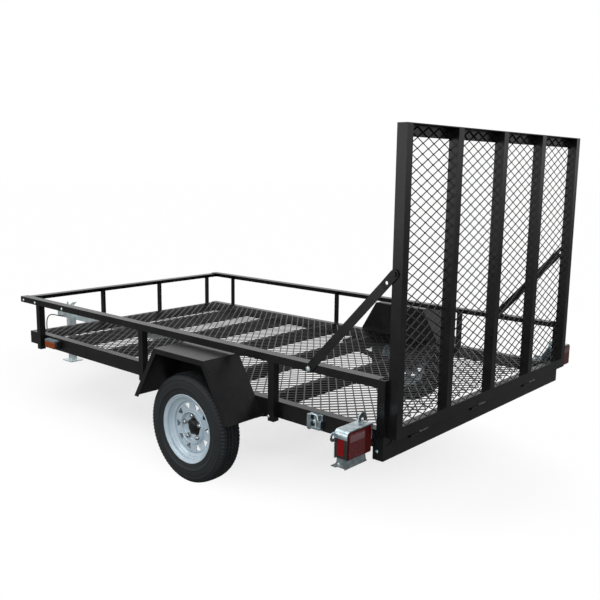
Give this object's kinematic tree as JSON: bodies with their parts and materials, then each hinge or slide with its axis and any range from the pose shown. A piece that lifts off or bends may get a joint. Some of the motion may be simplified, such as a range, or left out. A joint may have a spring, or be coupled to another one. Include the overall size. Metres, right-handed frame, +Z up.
{
  "type": "single-axle utility trailer with ramp gate",
  "caption": "Single-axle utility trailer with an expanded-metal floor, low railings, a hinged ramp gate, fenders and a ball coupler.",
  "frame": {"origin": "middle of the outline at the ground, on the trailer's centre plane", "axes": "+X forward to the coupler, +Y to the left, +Z up"},
  "size_m": [3.748, 2.112, 1.651],
  "materials": {
    "paint": "gloss",
    "zinc": "satin",
    "rim_paint": "gloss",
    "tyre": "matte",
    "lens_red": "gloss",
    "lens_amber": "gloss",
    "lead_jacket": "matte"
  },
  "bodies": {
    "chassis": {"axle": "paint", "coupler": "zinc", "coupler_latch": "zinc", "cross_member_1": "paint", "cross_member_2": "paint", "cross_member_3": "paint", "cross_member_4": "paint", "cross_member_5": "paint", "fender_left": "paint", "fender_right": "paint", "floor_mesh": "paint", "front_member": "paint", "lamp_bracket_left": "zinc", "lamp_bracket_right": "zinc", "latch_plate": "zinc", "marker_lamp_left": "lens_amber", "marker_lamp_right": "lens_amber", "railing_front": "paint", "railing_left": "paint", "railing_right": "paint", "rear_member": "paint", "rear_post_left": "paint", "rear_post_right": "paint", "side_rail_left": "paint", "side_rail_right": "paint", "spring_left": "paint", "spring_right": "paint", "stand_sleeve": "zinc", "tail_lamp_left": "lens_red", "tail_lamp_right": "lens_red", "tongue": "zinc", "wiring_lead": "lead_jacket", "wiring_plug": "lead_jacket"},
    "wheel_left": {"tyre_left": "tyre", "rim_left": "rim_paint", "hub_left": "paint"},
    "wheel_right": {"tyre_right": "tyre", "rim_right": "rim_paint", "hub_right": "paint"},
    "gate": {"gate_frame": "paint", "gate_mesh_1": "paint", "gate_mesh_2": "paint", "gate_mesh_3": "paint", "gate_mesh_4": "paint"},
    "stay_left": {"stay_left": "paint"},
    "stay_right": {"stay_right": "paint"},
    "stand_leg": {"stand_leg": "zinc"}
  },
  "joints": [
    {"name": "wheel_left_spin", "type": "hinge", "parent": "chassis", "child": "wheel_left", "pos_m": [-0.7985, 0.905, 0.264], "axis": [0, 1, 0], "continuous": true},
    {"name": "wheel_right_spin", "type": "hinge", "parent": "chassis", "child": "wheel_right", "pos_m": [-0.7985, -0.905, 0.264], "axis": [0, 1, 0], "continuous": true},
    {"name": "gate_hinge", "type": "hinge", "parent": "chassis", "child": "gate", "pos_m": [-1.851, 0, 0.4215], "axis": [0, -1, 0], "range_deg": [0, 108]},
    {"name": "stay_left_pivot", "type": "hinge", "parent": "chassis", "child": "stay_left", "pos_m": [-1.441, 0.8236, 0.652], "axis": [0, 1, 0], "range_deg": [0, 84]},
    {"name": "stay_right_pivot", "type": "hinge", "parent": "chassis", "child": "stay_right", "pos_m": [-1.441, -0.8236, 0.652], "axis": [0, 1, 0], "range_deg": [0, 84]},
    {"name": "stand_slide", "type": "slide", "parent": "chassis", "child": "stand_leg", "axis": [0, 0, 1], "range_m": [0, 0.18]}
  ]
}
